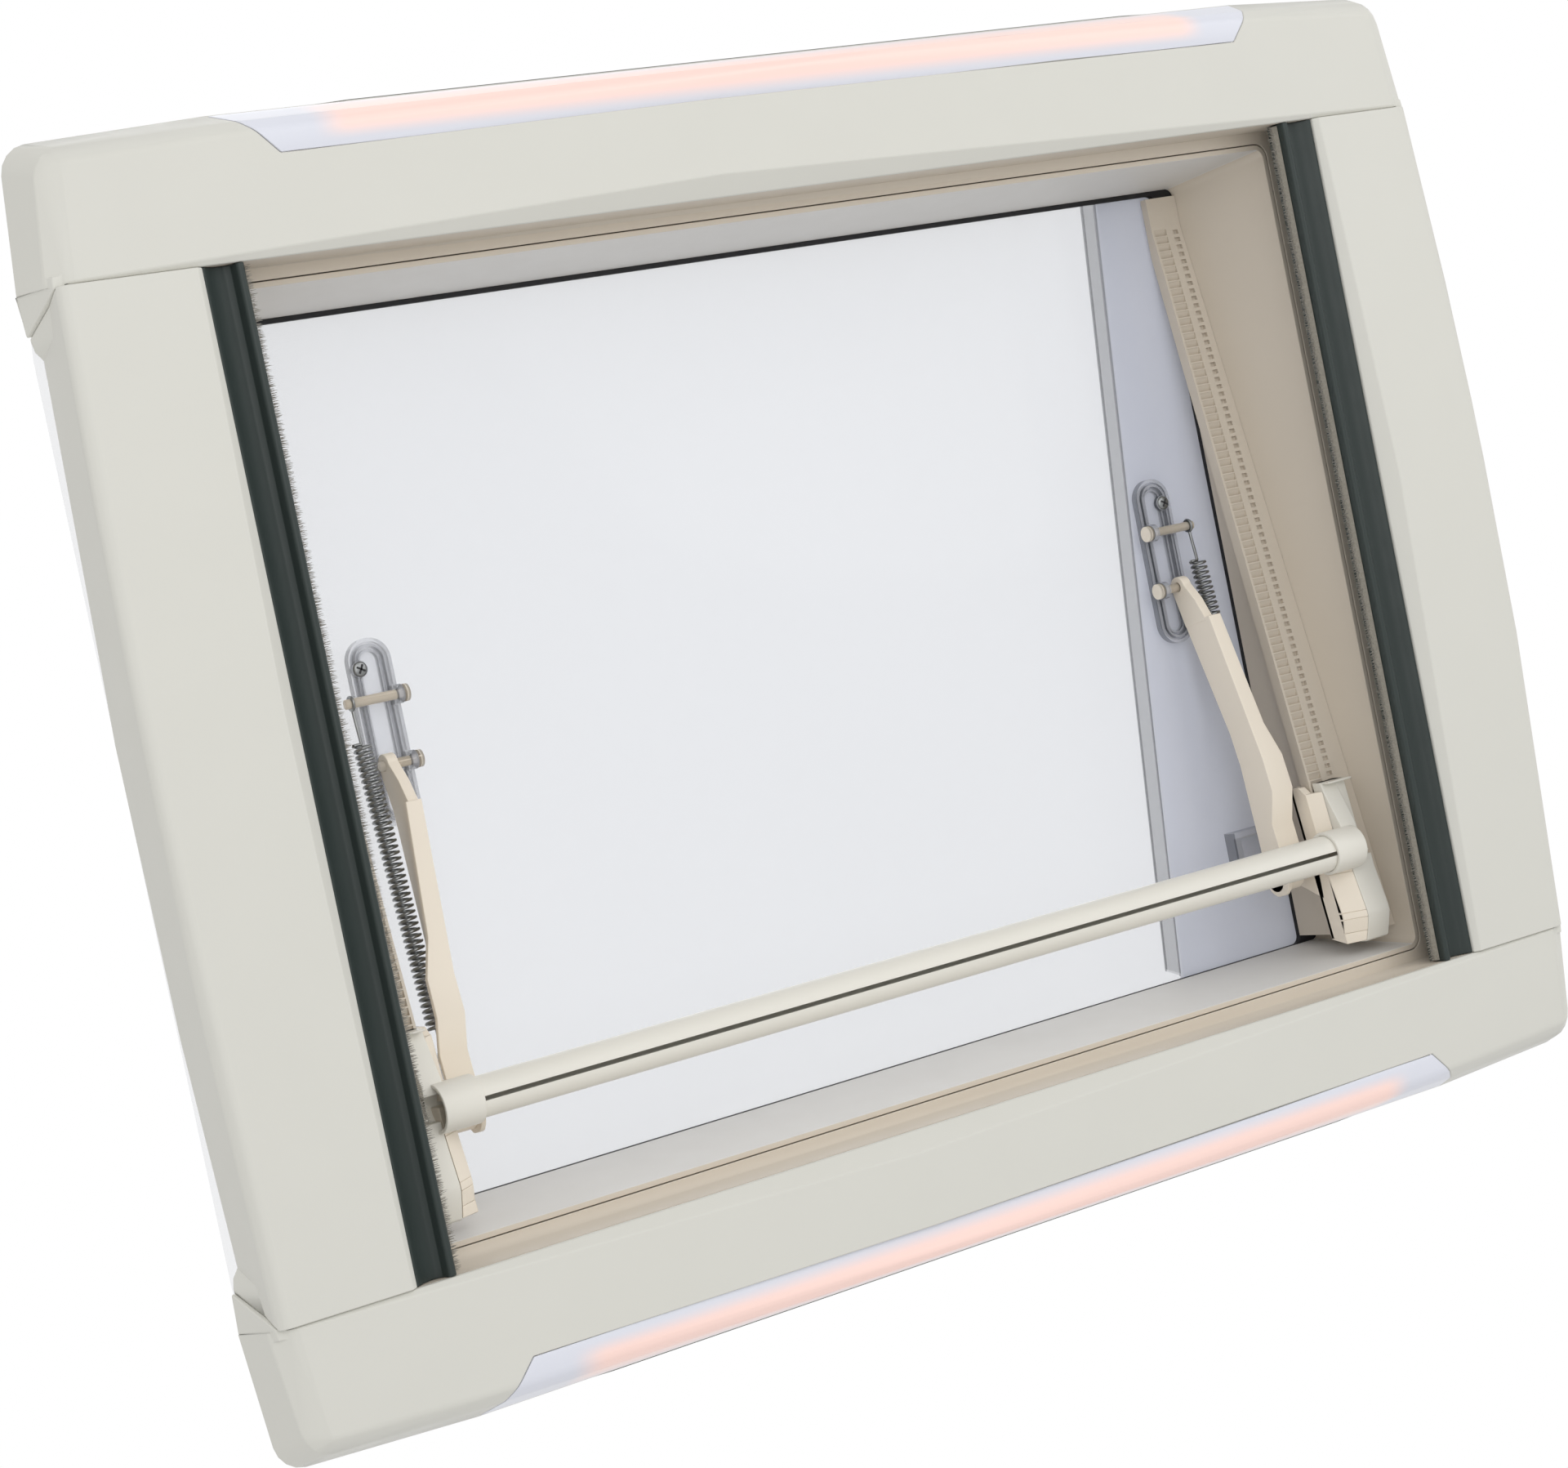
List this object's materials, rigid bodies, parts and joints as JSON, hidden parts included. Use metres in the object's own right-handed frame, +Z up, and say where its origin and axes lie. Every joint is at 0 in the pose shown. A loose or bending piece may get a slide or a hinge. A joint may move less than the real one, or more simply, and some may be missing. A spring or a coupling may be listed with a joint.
{
  "type": "roof hatch",
  "caption": "Caravan roof hatch with a twin-wall acrylic dome, a bar handle on toothed racks, lifting arms with springs, a clip-on inner frame and edge lighting.",
  "frame": {"origin": "middle of the hatch, at the lowest point of the room-side covers", "axes": "+Z up to the sky, +X along the length, +Y to the hinge side"},
  "size_m": [0.858, 0.643, 0.155],
  "materials": {
    "cover_plastic": "fine satin moulding, warm white",
    "frame_plastic": "satin moulding, cream",
    "liner_plastic": "satin moulding, cream",
    "handle_plastic": "smooth moulding, warm white",
    "arm_plastic": "smooth moulding, cream",
    "guide_plastic": "satin, dark grey-green",
    "felt": "short pile",
    "lens_plastic": "opal light diffuser",
    "acrylic": "clear acrylic with a faint blue tint",
    "gasket_rubber": "black sealing rubber",
    "aluminium": "natural extrusion",
    "spring_steel": "zinc-plated spring wire"
  },
  "bodies": {
    "frame": {"roof_frame": "frame_plastic", "opening_liner": "liner_plastic", "inner_frame": "frame_plastic", "dome_gasket": "gasket_rubber", "hinge_rail": "aluminium", "cover_hinge_side": "cover_plastic", "cover_handle_side": "cover_plastic", "cover_left": "cover_plastic", "cover_right": "cover_plastic", "lens_hinge_side": "lens_plastic", "lens_handle_side": "lens_plastic", "led_strip_hinge_side": "lens_plastic", "led_strip_handle_side": "lens_plastic", "blind_guide_left": "guide_plastic", "blind_guide_right": "guide_plastic", "brush_left": "felt", "brush_right": "felt", "rack_left": "liner_plastic", "rack_right": "liner_plastic"},
    "dome": {"dome_shell": "acrylic", "inner_pane": "acrylic", "hinge_profile": "aluminium", "bracket_left": "acrylic", "bracket_right": "acrylic", "arm_pin_left": "handle_plastic", "arm_pin_right": "handle_plastic", "spring_pin_left": "handle_plastic", "spring_pin_right": "handle_plastic", "lock_tab_left": "acrylic", "lock_tab_right": "acrylic"},
    "arms": {"arm_left": "arm_plastic", "arm_right": "arm_plastic"},
    "springs": {"spring_left": "spring_steel", "spring_right": "spring_steel"},
    "handle": {"handle_bar": "handle_plastic", "carriage_left": "handle_plastic", "carriage_right": "handle_plastic", "cheek_left": "arm_plastic", "cheek_right": "arm_plastic"}
  },
  "joints": [
    {"name": "dome_hinge", "type": "hinge", "parent": "frame", "child": "dome", "pos_m": [0, 0.276, 0.113], "axis": [-1, 0, 0], "range_deg": [0, 40]},
    {"name": "handle_slide", "type": "slide", "parent": "frame", "child": "handle", "axis": [0, 0.9921, 0.1253], "range_m": [0, 0.2328]},
    {"name": "arm_pivot", "type": "hinge", "parent": "dome", "child": "arms", "pos_m": [0, -0.004, 0.1], "axis": [1, 0, 0], "range_deg": [0, 120.5]},
    {"name": "spring_pivot", "type": "hinge", "parent": "dome", "child": "springs", "pos_m": [0, 0.03, 0.1], "axis": [1, 0, 0], "range_deg": [0, 110.5], "deforming": ["spring_left", "spring_right"]}
  ],
  "couplings": [
    {"joint": "handle_slide", "follows": "dome_hinge", "m_per_rad": 0.3333},
    {"joint": "arm_pivot", "follows": "dome_hinge", "ratio": 3.008},
    {"joint": "spring_pivot", "follows": "dome_hinge", "ratio": 2.755}
  ]
}
